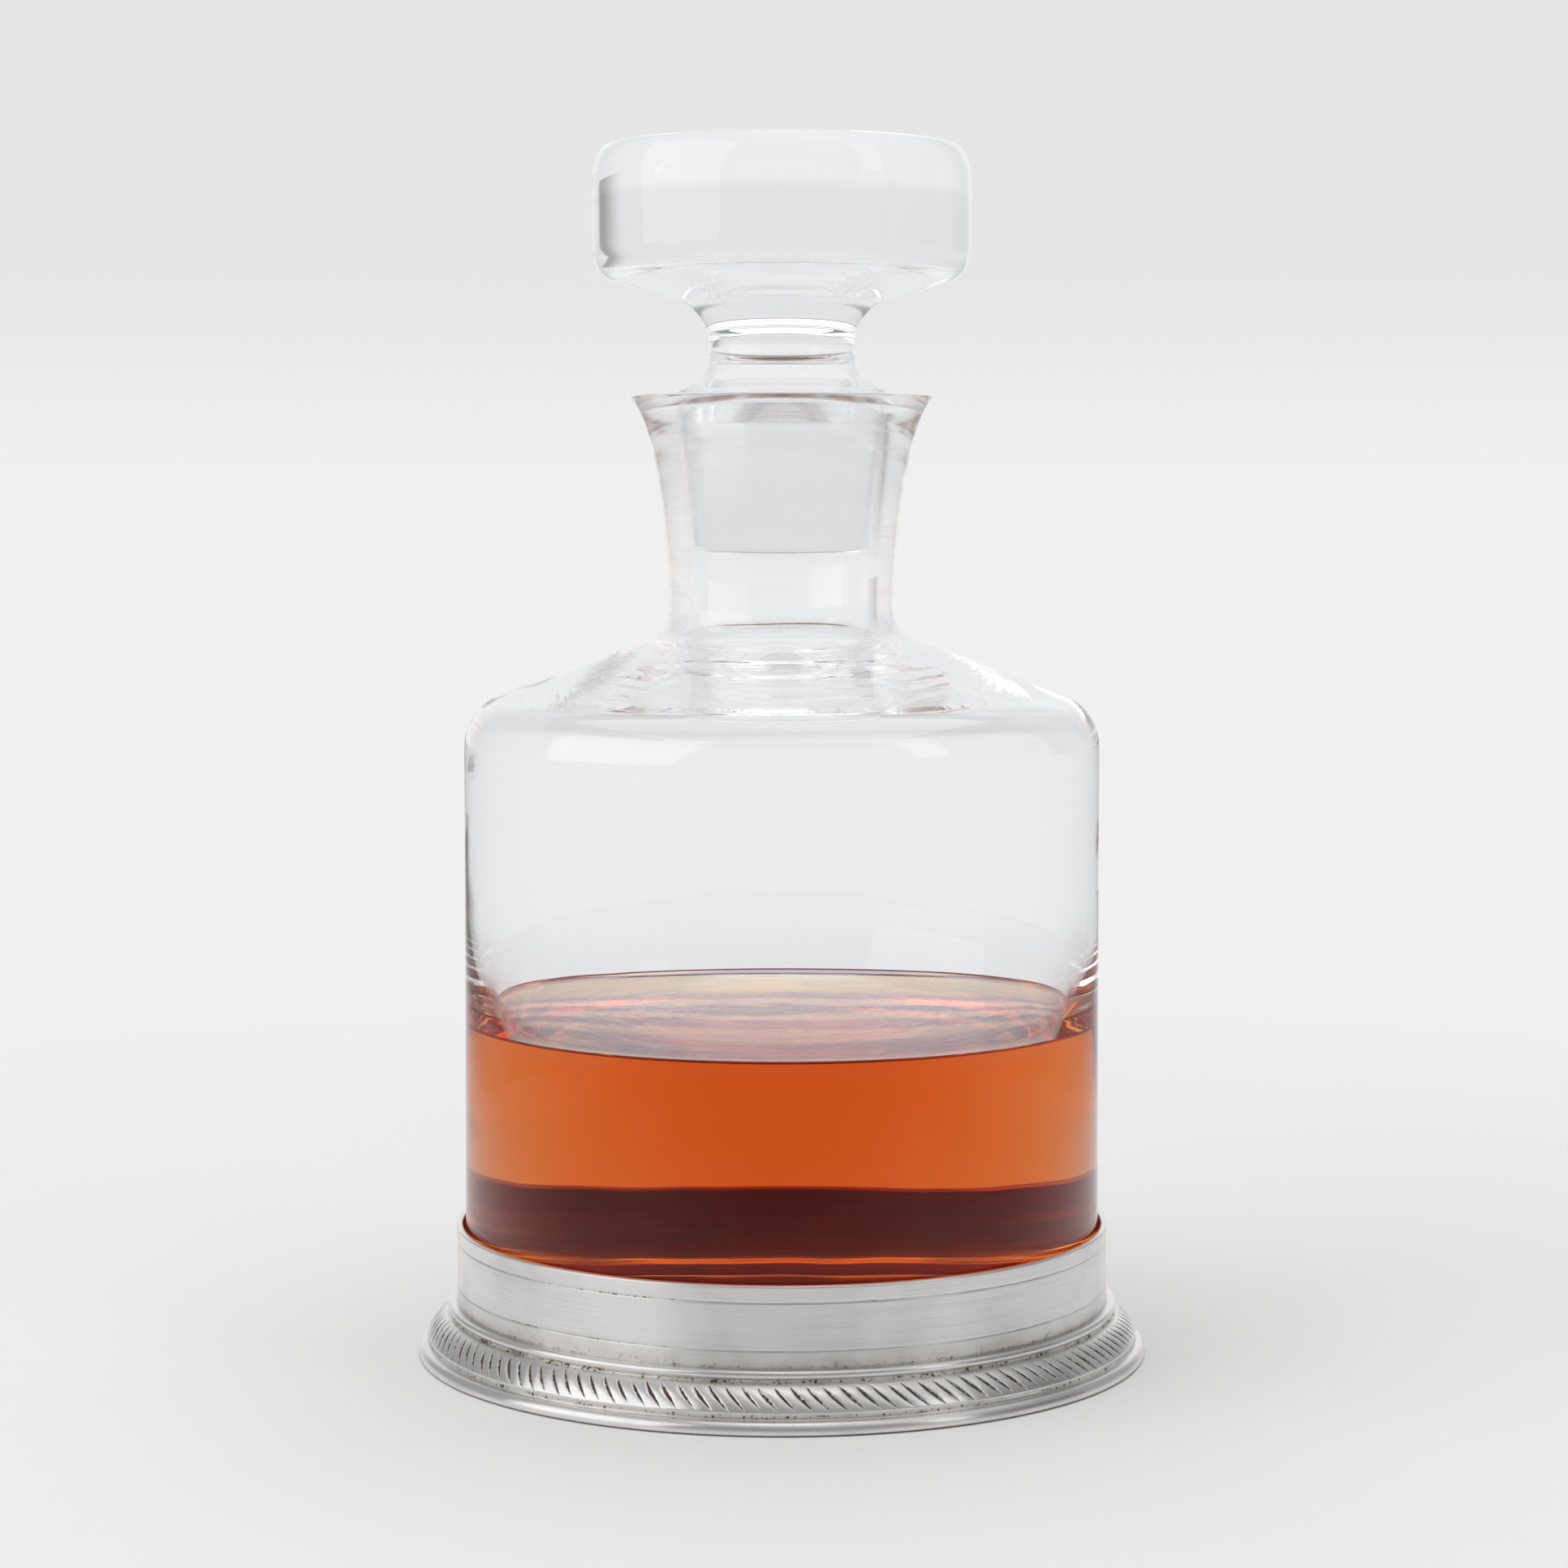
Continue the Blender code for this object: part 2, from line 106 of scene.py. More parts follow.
# Mesh of a turned surface. Row i and column j give the point radius * (cos turn, sin turn) at height,
# a row of radius zero is one point on the axis, and every face is turned to look outwards.
def turnedMesh(name, radius, height, turn, layers, loop=False):
    radius, height, turn = np.broadcast_arrays(radius, height, turn)
    points = np.stack([radius * np.cos(turn), radius * np.sin(turn), height], axis=-1).reshape(-1, 3) * mm
    index = np.arange(radius.size).reshape(radius.shape)
    if not loop:
        for row in (0, -1):
            if np.all(radius[row] < onAxis):
                index[row] = index[row, 0]
    after = np.roll(index, -1, axis=1)
    quads = np.stack([index, after, np.roll(after, -1, axis=0), np.roll(index, -1, axis=0)], axis=-1)
    # the last row joins the first only on a closed ring
    quads = (quads if loop else quads[:-1]).reshape(-1, 4)
    # the volume inside, times six, is negative where the faces look inwards
    first, second, third, fourth = np.moveaxis(points[quads], 1, 0)
    volume = (first * (np.cross(second - first, third) + np.cross(third - first, fourth))).sum()
    if volume < 0:
        quads = quads[:, ::-1]
    # a corner that repeats the one before it is left out, which makes triangles round the axis
    kept = quads != np.roll(quads, 1, axis=1)
    used, loops = np.unique(quads[kept], return_inverse=True)
    counts = kept.sum(axis=1)
    mesh = bpy.data.meshes.new(name)
    mesh.vertices.add(len(used))
    mesh.vertices.foreach_set("co", points[used].ravel())
    mesh.loops.add(len(loops))
    mesh.loops.foreach_set("vertex_index", loops.ravel().astype(np.int32))
    mesh.polygons.add(len(counts))
    mesh.polygons.foreach_set("loop_start", (np.cumsum(counts) - counts).astype(np.int32))
    mesh.update(calc_edges=True)
    mesh.validate()
    for layer, values in layers.items():
        made = mesh.attributes.new(layer, "FLOAT", "POINT")
        made.data.foreach_set("value", np.broadcast_to(values, radius.shape).ravel()[used].astype(np.float32))
    mesh.shade_smooth()
    return mesh


# Radius and height of the middle of each face, in millimetres
def faceCentres(mesh):
    middles = np.empty(len(mesh.polygons) * 3, np.float32)
    mesh.polygons.foreach_get("center", middles)
    middles = middles.reshape(-1, 3) / mm
    return np.hypot(middles[:, 0], middles[:, 1]), middles[:, 2]


# Another material on the chosen faces of a mesh
def dressFaces(mesh, material, chosen):
    places = np.empty(len(mesh.polygons), np.int32)
    mesh.polygons.foreach_get("material_index", places)
    places[chosen] = len(mesh.materials)
    mesh.materials.append(material)
    mesh.polygons.foreach_set("material_index", places)


# Object of a finished mesh, on its body, in its slot and in place of its node
def finishPiece(name, mesh, material, body, node):
    piece = bpy.data.objects.new(name, mesh)
    bpy.context.scene.collection.objects.link(piece)
    mesh.materials.append(material)
    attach(piece, body)
    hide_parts(node)
    print(f"{name}: {sum(len(p.vertices) - 2 for p in mesh.polygons)} triangles")
    return piece


# One output socket of a node tree: arithmetic on it adds Math nodes, and node() adds any other node
class Wire:
    def __init__(self, tree, socket=None):
        self.tree = tree
        self.socket = socket

    def node(self, kind, settings=None, sockets=None, output=0):
        made = self.tree.nodes.new(kind)
        for key, value in (settings or {}).items():
            setattr(made, key, value)
        for key, value in (sockets or {}).items():
            if isinstance(value, Wire):
                self.tree.links.new(value.socket, made.inputs[key])
            else:
                made.inputs[key].default_value = value
        return Wire(self.tree, made.outputs[output])

    def maths(self, operation, *values):
        return self.node("ShaderNodeMath", {"operation": operation}, dict(enumerate(values)))

    def vectors(self, operation, *values, output="Vector"):
        return self.node("ShaderNodeVectorMath", {"operation": operation}, dict(enumerate(values)), output)

    def tint(self, share, first, second):
        return self.node("ShaderNodeMix", {"data_type": "RGBA"}, {0: share, 6: first, 7: second}, 2)

    # smooth step from 0 at low to 1 at high
    def ramp(self, low, high):
        sockets = {"Value": self, "From Min": low, "From Max": high}
        return self.node("ShaderNodeMapRange", {"interpolation_type": "SMOOTHSTEP"}, sockets)

    def noise(self, place, scale=1.0, detail=2.0):
        return self.node("ShaderNodeTexNoise", {}, {"Vector": place, "Scale": scale, "Detail": detail})

    def bump(self, height, distance, strength=1.0, **others):
        return self.node("ShaderNodeBump", {}, {
            "Height": height, "Strength": strength, "Distance": distance, **others})

    def coordinates(self, kind="Object"):
        return self.node("ShaderNodeTexCoord", output=kind)

    def layer(self, name):
        return self.node("ShaderNodeAttribute", {"attribute_name": name}, output="Fac")

    def lightPath(self, kind):
        return self.node("ShaderNodeLightPath", output=kind)

    def along(self, axis):
        return self.node("ShaderNodeSeparateXYZ", {}, {"Vector": self}, axis)

    def __add__(self, other):
        return self.maths("ADD", self, other)

    def __sub__(self, other):
        return self.maths("SUBTRACT", self, other)

    def __rsub__(self, other):
        return self.maths("SUBTRACT", other, self)

    def __mul__(self, other):
        return self.maths("MULTIPLY", self, other)

    __radd__ = __add__
    __rmul__ = __mul__


# Empty material, and a wire that adds nodes to it
def blankMaterial(name):
    material = bpy.data.materials.new(name)
    material.use_nodes = True
    material.node_tree.nodes.clear()
    return material, Wire(material.node_tree)


def linkSurface(wire, surface, volume=None, kind="ShaderNodeOutputMaterial"):
    output = wire.tree.nodes.new(kind)
    wire.tree.links.new(surface.socket, output.inputs["Surface"])
    if volume:
        wire.tree.links.new(volume.socket, output.inputs["Volume"])


# Coordinates that run with a turned surface: (cos, sin) of the turn times the grain's stretch round the
# piece, and the run along the outline times its density across the grain
def turnedPlace(wire, stretch, density):
    flat = wire.vectors("MULTIPLY", wire.coordinates(), (1, 1, 0))
    around = wire.vectors("MULTIPLY", wire.vectors("NORMALIZE", flat), (stretch, stretch, 0))
    across = wire.node("ShaderNodeCombineXYZ", {}, {"Z": wire.layer("run") * density})
    return wire.vectors("ADD", around, across)


# Pewter: satin metal with fine turning marks, cloudy patches of wear, and in its recesses a brown tarnish
# with darker specks of dirt. The same tarnish colour also paints shade, low on the band and on the
# undersides. A span is where a noise or the tarnish-and-shade layer begins to show and where it shows fully.
pewterLook = {
    "metal": (0.85, 0.84, 0.83, 1),
    "tired": (0.72, 0.70, 0.69, 1),
    "tarnish": (0.52, 0.46, 0.39, 1),
    "dirt": (0.10, 0.072, 0.052, 1),
    "grainStretch": 3.0,
    "grainDensity": 5.0,
    "grainShade": 1.6,
    "grainDepth": 0.000011,
    "broadStretch": 1.0,
    "broadDensity": 0.625,
    "broadShade": 0.7,
    "broadDepth": 0.3,
    "wearScale": 70.0,
    "wearSpan": (0.42, 0.68),
    "wearShade": 0.45,
    "blotchScale": 320.0,
    "tarnishBlotch": 1.2,
    "tarnishSpan": (0.05, 0.95),
    "tarnishShade": 0.85,
    "speckScale": 1500.0,
    "dirtRecess": 0.26,
    "dirtBlotch": 0.35,
    "dirtSpan": (0.70, 0.79),
    "dirtRecessSpan": (0.33, 0.55),
    "pitSpan": (0.73, 0.76),
    "pitBlotchSpan": (0.55, 0.65),
    "pitShade": 0.6,
    "pitDepth": 4,
    "roughness": 0.30,
    "grainRoughness": 0.14,
    "wearRoughness": 0.05,
    "tarnishRoughness": 0.12,
    "dirtRoughness": 0.2,
    "dirtDullness": 0.6,
    "anisotropy": 0.80,
    "grainTurn": 0.25,
}


def pewterMaterial(name, changes=None):
    look = {**pewterLook, **(changes or {})}
    material, wire = blankMaterial(name)
    place = wire.coordinates()
    tarnishAndShade = wire.layer("tarnishAndShade")
    grain = wire.noise(turnedPlace(wire, look["grainStretch"], look["grainDensity"]), detail=4.0)
    broad = wire.noise(turnedPlace(wire, look["broadStretch"], look["broadDensity"]))
    speck = wire.noise(place, look["speckScale"], 4.0)
    blotch = wire.noise(place, look["blotchScale"], 3.0)
    worn = wire.noise(place, look["wearScale"], 3.0).ramp(*look["wearSpan"])
    # the tarnish colour follows this layer: patina in the hollows, and painted shade low on the band and on
    # the undersides
    tarnish = (tarnishAndShade + (blotch - 0.5) * look["tarnishBlotch"] * tarnishAndShade).ramp(*look["tarnishSpan"])
    specks = speck + tarnishAndShade * look["dirtRecess"] + (blotch - 0.5) * look["dirtBlotch"]
    dirt = specks.ramp(*look["dirtSpan"]) * tarnishAndShade.ramp(*look["dirtRecessSpan"])
    pits = speck.ramp(*look["pitSpan"]) * blotch.ramp(*look["pitBlotchSpan"])
    fading = worn * look["wearShade"] + (grain - 0.5) * look["grainShade"]
    fading = fading + (broad - 0.5) * look["broadShade"]
    colour = wire.tint(fading, look["metal"], look["tired"])
    colour = wire.tint(tarnish * look["tarnishShade"], colour, look["tarnish"])
    colour = wire.tint(wire.maths("MAXIMUM", dirt, pits * look["pitShade"]), colour, look["dirt"])
    rough = look["roughness"] + (grain - 0.5) * look["grainRoughness"] + worn * look["wearRoughness"]
    rough = rough + tarnish * look["tarnishRoughness"] + dirt * look["dirtRoughness"]
    height = grain + broad * look["broadDepth"] + speck * dirt - pits * look["pitDepth"]
    surface = wire.node("ShaderNodeBsdfPrincipled", {}, {
        "Base Color": colour, "Metallic": 1 - dirt * look["dirtDullness"], "Roughness": rough,
        "Normal": wire.bump(height, look["grainDepth"]),
        "Anisotropic": look["anisotropy"], "Anisotropic Rotation": look["grainTurn"]})
    linkSurface(wire, surface)
    return material


# Glass: clear, with the slight ripple of blown work, drawn-out streaks where the neck was pulled from the
# shoulder, and fine polishing rings where it is ground
glassLook = {
    "tint": (0.985, 0.991, 1.0, 1),
    "index": 1.5,
    "mirror": (1, 1, 1, 1),
    "rippleScale": 38.0,
    "rippleDepth": 0.00022,
    "streakStretch": 1.3,
    "streakDensity": 0.55,
    "streakDepth": 0.00013,
    "ringStretch": 1.5,
    "ringDensity": 3.0,
    "ringSpan": (0.35, 0.75),
    "ringShare": 0.65,
    "groundRoughness": 0.22,
    "groundDepth": 0.000004,
}


def glassMaterial(name, changes=None):
    look = {**glassLook, **(changes or {})}
    material, wire = blankMaterial(name)
    ground = wire.layer("ground")
    ripple = wire.noise(wire.coordinates(), look["rippleScale"], 1.0)
    rings = wire.noise(turnedPlace(wire, look["ringStretch"], look["ringDensity"]), detail=3.0)
    streaks = wire.noise(turnedPlace(wire, look["streakStretch"], look["streakDensity"]), detail=2.5)
    waves = ripple * look["rippleDepth"] + streaks * wire.layer("streaks") * look["streakDepth"]
    fine = wire.bump(rings * ground, look["groundDepth"], Normal=wire.bump(waves, 1.0))
    rough = 1 - look["ringShare"] + rings.ramp(*look["ringSpan"]) * look["ringShare"]
    surface = wire.node("ShaderNodeBsdfPrincipled", {}, {
        "Base Color": look["tint"], "Roughness": ground * rough * look["groundRoughness"],
        "IOR": look["index"], "Specular Tint": look["mirror"], "Transmission Weight": 1.0, "Normal": fine})
    linkSurface(wire, surface)
    return material


# Spirit: a clear amber drink. The absorption per metre sets how fast each colour is lost on the way through,
# and streaks run round its surface, some of them painted darker and bluish as shade, which lets less light
# from below through them.
spiritLook = {
    "index": 1.36,
    "absorption": (2.8, 23.0, 50.0),
    "densityMargin": 1.02,
    "mirror": (0.08, 0.08, 0.08, 1),
    "gleamIndex": 1.24,
    "swirlScale": 48.0,
    "swirlShare": 0.5,
    "streakStretch": 1.2,
    "streakDensity": 0.16,
    "waveDepth": 0.00025,
    "paintedStreakSpan": (0.46, 0.56),
    "paintedStreakShade": (0.40, 0.40, 0.55, 1),
}


def spiritMaterial(name):
    look = spiritLook
    material, wire = blankMaterial(name)
    surfaceShare = wire.layer("surface")
    swirl = wire.noise(wire.coordinates(), look["swirlScale"], 1.0)
    streaks = wire.noise(turnedPlace(wire, look["streakStretch"], look["streakDensity"]), detail=3.0)
    # painted shade: darker, bluish streaks over the spirit's top
    paintedStreakShade = streaks.ramp(*look["paintedStreakSpan"]) * surfaceShare
    height = swirl * look["swirlShare"] + streaks * surfaceShare
    surface = wire.node("ShaderNodeBsdfPrincipled", {}, {
        "Base Color": wire.tint(paintedStreakShade, (1, 1, 1, 1), look["paintedStreakShade"]), "Roughness": 0.0, "IOR": look["index"],
        "Specular Tint": look["mirror"], "Transmission Weight": 1.0,
        "Normal": wire.bump(height, look["waveDepth"]),
        "Coat Weight": surfaceShare, "Coat Roughness": 0.0, "Coat IOR": look["gleamIndex"]})
    # each colour loses density * (1 - kept) per metre, with a density a little over the strongest loss
    density = max(look["absorption"]) * look["densityMargin"]
    kept = [1 - loss / density for loss in look["absorption"]]
    volume = wire.node("ShaderNodeVolumeAbsorption", {}, {"Color": (*kept, 1), "Density": density})
    linkSurface(wire, surface, volume)
    return material


# Putty: dull and slightly lumpy, with its hollows painted darker than its lumps as shade
puttyLook = {
    "hollowShade": (0.58, 0.52, 0.45, 1),
    "lumps": (0.70, 0.65, 0.58, 1),
    "lumpScale": 260.0,
    "lumpDepth": 0.0002,
    "lumpStrength": 0.6,
    "roughness": 0.7,
    "lumpRoughness": 0.2,
}


def puttyMaterial(name):
    look = puttyLook
    material, wire = blankMaterial(name)
    lumps = wire.noise(wire.coordinates(), look["lumpScale"], 4.0)
    surface = wire.node("ShaderNodeBsdfPrincipled", {}, {
        "Base Color": wire.tint(lumps, look["hollowShade"], look["lumps"]),
        "Roughness": look["roughness"] + lumps * look["lumpRoughness"],
        "Normal": wire.bump(lumps, look["lumpDepth"], look["lumpStrength"])})
    linkSurface(wire, surface)
    return material


# Camera: the photograph's place and lens, in metres, degrees and millimetres of lens and sensor
camera = {
    "place": (0.0004, -0.63362, 0.14960),
    "downwards": 4.38,
    "lens": 82,
    "sensor": 36,
    "nearest": 0.01,
}


def makeCamera():
    data = bpy.data.cameras.new("camera")
    data.lens, data.sensor_width = camera["lens"], camera["sensor"]
    data.clip_start = camera["nearest"]
    eye = bpy.data.objects.new("camera", data)
    eye.location = camera["place"]
    eye.rotation_euler = (math.radians(90 - camera["downwards"]), 0, 0)
    bpy.context.scene.collection.objects.link(eye)
    bpy.context.scene.camera = eye


makeCamera()

# Bottle: blown glass, thin above and thick below. Sizes in millimetres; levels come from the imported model.
bottle = {
    "columns": 336,
    "narrowing": 0.35,
    "heel": 5.5,
    "wallHeight": 100.1,
    "shoulderCorner": 10.0,
    "slope": 20.5,
    "neckRadius": 20.0,
    "neckFillet": 5.0,
    "neckHeight": 37.8,
    "neckSpread": 4.7,
    "neckSpreadPower": 1.9,
    "lipFlare": 1.9,
    "lipFlarePower": 9,
    "lipRound": 0.35,
    "mouthRadius": 18.75,
    "mouthChamfer": 0.4,
    "boreRadius": 16.6,
    "boreTaperShare": 0.84,
    "upperWall": 1.4,
    "lowerWall": 6.2,
    "wallChangeDrop": 49.7,
    "wallChangeSpread": 5.0,
    "shoulderRadii": (56.2, 50.0, 36.0, 34.5, 28.5, 23.25, 20.0),
    "shoulderWalls": (1.4, 1.7, 2.3, 2.45, 3.02, 3.4, 3.4),
    "floorThickness": 3.6,
    "floorCorner": 9.0,
    "wetReach": 0.9,  # a face this near to the inside belongs to it
    # how uneven the glass is: most where the neck meets the shoulder, least beside the spirit's edge and
    # where it is ground, with streaks round one radius of the shoulder
    "blowing": {
        "seed": 4,
        "inside": 0.10,
        "outside": 0.02,
        "nearNeck": 0.16,
        "nearNeckDrop": 4,
        "nearNeckSpread": 7,
        "groundRise": 8,
        "lowDrop": 30,
        "lowShare": 0.3,
        "fullRadius": 20,
        "edgeCalm": 0.95,
        "edgeSpread": 5,
        "streakRadius": 31.0,
        "streakWidth": 5.5,
    },
}
glassFoot, lipTop, bodyRadius = extent("glass_bottle")
shoulderTop = glassFoot + bottle["wallHeight"]
neckLow = lipTop - bottle["neckHeight"]
floorTop = glassFoot + bottle["floorThickness"]


# Outside of the side at height z: it draws in evenly from the foot to the shoulder
def sideRadius(z):
    return bodyRadius - bottle["narrowing"] * (z - glassFoot) / bottle["wallHeight"]


# Inside of the side at height z: the wall swells from thin to thick as 1 / (1 + exp(height))
def cavityRadius(z):
    rise = (z - (shoulderTop - bottle["wallChangeDrop"])) / bottle["wallChangeSpread"]
    swelling = (bottle["lowerWall"] - bottle["upperWall"]) / (1 + np.exp(rise))
    return sideRadius(z) - bottle["upperWall"] - swelling


# Rows of the cavity from the axis, along its floor and up its side to the height top, widened by grow
def cavityRows(top, grow=0.0, floorRows=12, sideRows=46):
    cornerZ = floorTop + bottle["floorCorner"]
    cornerR = cavityRadius(cornerZ) - bottle["floorCorner"]
    levels = np.linspace(cornerZ, top, sideRows)[1:]
    return join(
        straight((0, floorTop - grow), (cornerR, floorTop - grow), floorRows),
        bow(cornerR, cornerZ, bottle["floorCorner"] + grow, -90, 0),
        np.column_stack([cavityRadius(levels) + grow, levels]))


# Outside of the shoulder from the side to the neck: corner arc, slope and fillet, with the angle of each
# row's normal in degrees
def shoulderOutside():
    b = bottle
    steepest = 90 - b["slope"]
    cornerR = bodyRadius - b["narrowing"] - b["shoulderCorner"]
    corner = bow(cornerR, shoulderTop, b["shoulderCorner"], 0, steepest)
    fillet = bow(b["neckRadius"] + b["neckFillet"], neckLow, b["neckFillet"], 270 - b["slope"], 180)
    slope = straight(corner[-1], fillet[0], 30)[1:-1]
    normals = np.concatenate([
        np.linspace(0, steepest, len(corner)),
        np.full(len(slope), steepest),
        np.linspace(steepest, 0, len(fillet))])
    return np.vstack([corner, slope, fillet]), normals


# Inside of the shoulder: the outside moved inwards, square to itself, by a wall that swells towards the neck
def shoulderInside():
    outer, normals = shoulderOutside()
    wall = np.interp(-outer[:, 0], -np.array(bottle["shoulderRadii"]), bottle["shoulderWalls"])[:, None]
    return outer - wall * np.column_stack([np.cos(np.radians(normals)), np.sin(np.radians(normals))])


# Inside of the bottle from the axis to the lip, and its outside from the lip down to the axis. The neck
# spreads as neckSpread * share^power with the share of its height, and so does the lip, with a higher power.
def bottleRows():
    b = bottle
    share = np.linspace(1, 0, 44)
    flare = b["neckRadius"] + b["neckSpread"] * share ** b["neckSpreadPower"]
    flare += b["lipFlare"] * share ** b["lipFlarePower"]
    neck = np.column_stack([flare, neckLow + b["neckHeight"] * share])
    lipR = flare[0] - b["lipRound"]
    heelZ = glassFoot + b["heel"]
    heelR = bodyRadius - b["heel"]
    boreLow = (b["boreRadius"], neckLow)
    boreTaper = (b["boreRadius"], lipTop - b["neckHeight"] * b["boreTaperShare"])
    mouth = (b["mouthRadius"], lipTop - b["mouthChamfer"])
    mouthEdge = (b["mouthRadius"] + b["mouthChamfer"], lipTop)
    inside = join(
        cavityRows(shoulderTop, floorRows=6, sideRows=44),
        shoulderInside(),
        straight(boreLow, boreTaper, 4),
        straight(boreTaper, mouth, 10),
        straight(mouth, mouthEdge, 3))
    outside = join(
        straight(mouthEdge, (lipR, lipTop), 5),
        bow(lipR, lipTop - b["lipRound"], b["lipRound"], 90, 20, 20),
        neck[2:],
        shoulderOutside()[0][::-1],
        straight((sideRadius(shoulderTop), shoulderTop), (sideRadius(heelZ), heelZ), 16),
        bow(heelR, heelZ, b["heel"], 0, -90, 8),
        straight((heelR, glassFoot), (0, glassFoot), 4))
    return inside, outside


def makeBottle(materials):
    b = bottle["blowing"]
    inside, outside = bottleRows()
    rows = join(inside, outside)
    turn = columnTurns(bottle["columns"])
    run = runLength(rows)
    radius, height = rows[:, :1], rows[:, 1:]
    isInside = (np.arange(len(rows)) < len(inside))[:, None]
    ground = (height > neckLow + b["groundRise"]) & isInside
    nearNeck = np.exp(-((height - neckLow + b["nearNeckDrop"]) / b["nearNeckSpread"]) ** 2)
    amount = np.where(isInside & ~ground, b["inside"] + b["nearNeck"] * nearNeck, b["outside"])
    amount = amount * np.clip(radius / b["fullRadius"], 0, 1)
    amount = np.where(height < shoulderTop - b["lowDrop"], amount * b["lowShare"], amount)
    beside = np.exp(-((height - spiritLevel) / b["edgeSpread"]) ** 4) * isInside
    amount = amount * (1 - b["edgeCalm"] * beside)
    wobble = unevenness(turn, run, b["seed"]) * amount
    streaks = np.exp(-((radius - b["streakRadius"]) / b["streakWidth"]) ** 4)
    streaks = streaks * (height > shoulderTop) * isInside
    mesh = turnedMesh("bottleGlass", np.where(radius < onAxis, 0, radius + wobble), height, turn,
                      {"run": run, "ground": ground.astype(float), "streaks": streaks})
    blown = materials["blownGlass"]
    piece = finishPiece("bottleGlass", mesh, blown, "decanter", "glass_bottle")
    # the faces that the spirit wets mirror far less, because glass and spirit bend light nearly alike,
    # and so do the outer faces in front of them
    reach, level = faceCentres(mesh)
    within = reach < cavityRadius(level) + bottle["wetReach"]
    wet = (level > floorTop - slack) & (level < spiritLevel + spirit["climb"]) & within
    low = (level > glassFoot + bottle["heel"]) & (level < spiritLevel) & ~within
    dressFaces(mesh, materials["wetGlass"], wet)
    dressFaces(mesh, materials["lowGlass"], low)
    return piece


# Spirit: fills the cavity, reaches a little into the glass so that the two join without air between,
# and climbs the wall in a meniscus: height = level + climb * exp(-distance to the wall / reach)
spirit = {
    "columns": 300,
    "overlap": 0.10,
    "edgeOverlap": 0.012,
    "edgeHeight": 1,
    "climb": 0.8,
    "reach": 0.9,
    "topRows": 70,
    "topSpacing": 2.6,
    "seed": 9,
    "waves": 0.03,
}
spiritLevel = extent("spirit")[1]


def makeSpirit(material):
    s = spirit
    side = cavityRows(spiritLevel + s["climb"], s["overlap"], sideRows=60)
    # the overlap thins out on the last stretch below the contact with the wall
    nearContact = (side[:, 1] - spiritLevel + s["edgeHeight"]) / (s["climb"] + s["edgeHeight"])
    side[:, 0] -= np.clip(nearContact, 0, 1) * (s["overlap"] - s["edgeOverlap"])
    wall = side[-1, 0]
    reach = wall * (1 - np.linspace(0, 1, s["topRows"]) ** s["topSpacing"])
    top = np.column_stack([reach, spiritLevel + s["climb"] * np.exp(-(wall - reach) / s["reach"])])
    top[-1, 0] = 0
    rows = join(side, top)
    turn = columnTurns(s["columns"])
    radius, height = rows[:, :1], rows[:, 1:]
    isTop = (np.arange(len(rows)) >= len(side))[:, None]
    swell = unevenness(turn, radius, s["seed"], (0, 1, 2, 3), (0.12, 0.2, 0.3, 0.4)) * s["waves"]
    height = height + np.where(isTop & (radius > onAxis), swell, 0)
    mesh = turnedMesh("amberSpirit", radius, height, turn,
                      {"run": runLength(rows), "surface": isTop.astype(float)})
    return finishPiece("amberSpirit", mesh, material, "decanter", "spirit")


# Stopper: solid glass, a drum head over a hollow-curved stem and a ground plug
stopper = {
    "columns": 300,
    "topRound": 2.7,
    "topFall": 7.0,
    "footRound": 5.7,
    "sideHeight": 11.0,
    "undercut": 17.5,
    "stemRadius": 12.77,
    "stemCurve": 8.4,
    "stemRise": 8.88,
    "stemFoot": 70.0,
    "plugShoulder": 0.1,
    "plugDrop": 1.3,
    "plugTopRadius": 18.36,
    "plugFootRadius": 15.5,
    "plugRound": 1.6,
    "seed": 21,
    "uneven": 0.03,
}


def makeStopper(material):
    s = stopper
    plugFoot, headTop, headRadius = extent("glass_stopper")
    stemZ = lipTop + s["stemRise"]
    stemR = s["stemRadius"] + s["stemCurve"]
    tilt = s["undercut"]
    sine, cosine = math.sin(math.radians(tilt)), math.cos(math.radians(tilt))
    topR = headRadius - s["topRound"]
    topZ = headTop - s["topFall"]
    footR = headRadius - s["footRound"]
    footZ = topZ - s["sideHeight"]
    plugTop = (s["plugTopRadius"], lipTop - s["plugDrop"])
    plugEnd = (s["plugFootRadius"], plugFoot + s["plugRound"])
    plugR = s["plugFootRadius"] - s["plugRound"]
    stem = bow(stemR, stemZ, s["stemCurve"], 90 + tilt, 180 + s["stemFoot"], 3)
    pull = (plugTop[0] + s["plugShoulder"], (stem[-1, 1] + plugTop[1]) / 2)
    rows = join(
        straight((0, headTop), (topR, headTop), 16),
        bow(topR, topZ, s["topRound"], 90, 0, 2, s["topFall"]),
        straight((headRadius, topZ), (headRadius, footZ), 10),
        bow(footR, footZ, s["footRound"], 0, tilt - 90, 3),
        straight((footR + s["footRound"] * sine, footZ - s["footRound"] * cosine), stem[0], 8),
        stem,
        sag(stem[-1], pull, plugTop, 6),
        straight(plugTop, plugEnd, 30),
        bow(plugR, plugEnd[1], s["plugRound"], 0, -90, 8),
        straight((plugR, plugFoot), (0, plugFoot), 10))
    turn = columnTurns(s["columns"])
    run = runLength(rows)
    radius, height = rows[:, :1], rows[:, 1:]
    isPlug = (height < plugTop[1]) & (height > plugFoot + slack)
    soft = unevenness(turn, run, s["seed"]) * s["uneven"] - s["uneven"]
    wobble = np.where(isPlug | (radius < onAxis), 0, soft)
    mesh = turnedMesh("stopperGlass", radius + wobble, height, turn,
                      {"run": run, "ground": isPlug.astype(float)})
    return finishPiece("stopperGlass", mesh, material, "stopper", "glass_stopper")
